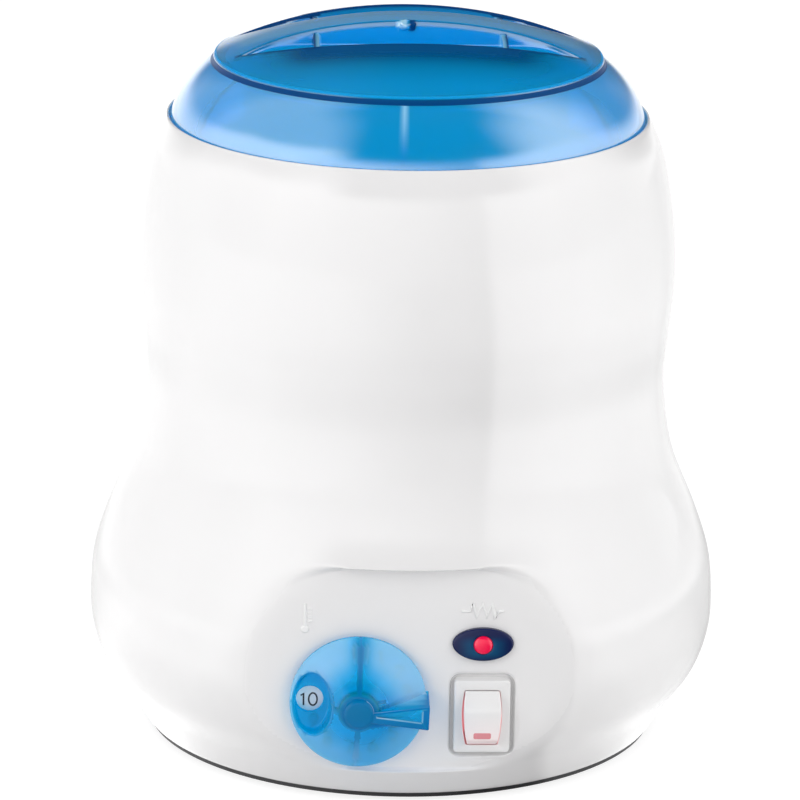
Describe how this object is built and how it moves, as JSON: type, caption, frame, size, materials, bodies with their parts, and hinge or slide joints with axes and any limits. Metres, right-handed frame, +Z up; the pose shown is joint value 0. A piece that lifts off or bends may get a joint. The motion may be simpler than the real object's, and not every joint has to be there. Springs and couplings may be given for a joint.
{
  "type": "wax warmer",
  "caption": "Peanut-shaped tin warmer for hair-removal wax, with a heated well, a lift-off translucent lid with finger wells, a dial thermostat, a rocker switch and a pilot lamp.",
  "frame": {"origin": "on the table under the axis of the body, at the middle of the footprint", "axes": "+Z up along the axis of the body and lid, -Y out of the control panel, +X to the right as one faces the panel"},
  "size_m": [0.175, 0.1781, 0.2025],
  "materials": {
    "body_white": "glossy moulded plastic, with a matt control panel",
    "base_dark": "matt moulded plastic",
    "rubber_black": "matt",
    "steel": "zinc plated",
    "aluminium": "spun, satin",
    "silicone_white": "matt silicone",
    "brass": "bright",
    "heater_steel": "rolled sheet",
    "insulation": "needled glass felt",
    "bakelite": "moulded phenolic",
    "copper": "drawn copper",
    "switch_white": "satin moulded plastic",
    "lens_dark": "polished tinted plastic",
    "lamp_red": "polished",
    "block_ivory": "moulded nylon",
    "bush_black": "moulded nylon",
    "wire_brown": "silicone covered",
    "wire_blue": "silicone covered",
    "wire_green": "silicone covered",
    "knob_blue": "translucent, polished outside and frosted inside",
    "window_pink": "translucent",
    "lid_blue": "translucent, polished"
  },
  "bodies": {
    "base": {"body_shell": "body_white", "base_plate": "base_dark", "rubber_feet": "rubber_black", "base_screws": "steel", "heating_chamber": "aluminium", "chamber_gasket": "silicone_white", "chamber_spacers": "brass", "spacer_screws": "steel", "band_heater": "heater_steel", "heater_clamp_screw": "steel", "insulation_sleeve": "insulation", "thermostat_body": "bakelite", "thermostat_bracket": "steel", "thermostat_screws": "steel", "capillary_tube": "copper", "sensor_bulb": "copper", "bulb_clip": "steel", "clip_nuts": "steel", "thermal_fuse": "heater_steel", "fuse_clip": "steel", "switch_housing": "switch_white", "switch_terminals": "brass", "pilot_lens": "lens_dark", "pilot_lamp": "lamp_red", "lens_retainer": "steel", "terminal_block": "block_ivory", "terminal_block_screws": "steel", "cord_bush": "bush_black", "cord_bush_nut": "bush_black", "live_wires": "wire_brown", "neutral_wires": "wire_blue", "earth_wire": "wire_green", "earth_tag": "brass", "earth_nut": "steel"},
    "lid": {"lid": "lid_blue"},
    "knob": {"dial_knob": "knob_blue", "dial_shaft": "steel", "knob_spring": "steel"},
    "rocker": {"switch_rocker": "switch_white", "rocker_window": "window_pink"}
  },
  "joints": [
    {"name": "lid_lift", "type": "slide", "parent": "base", "child": "lid", "axis": [0, 0, 1], "range_m": [0, 0.16]},
    {"name": "knob_turn", "type": "hinge", "parent": "base", "child": "knob", "pos_m": [-0.0139, -0.0762, 0.031], "axis": [0, -1, 0], "range_deg": [0, 270]},
    {"name": "rocker_tilt", "type": "hinge", "parent": "base", "child": "rocker", "pos_m": [0.0195, -0.0729, 0.0264], "axis": [1, 0, 0], "range_deg": [0, 20]}
  ]
}
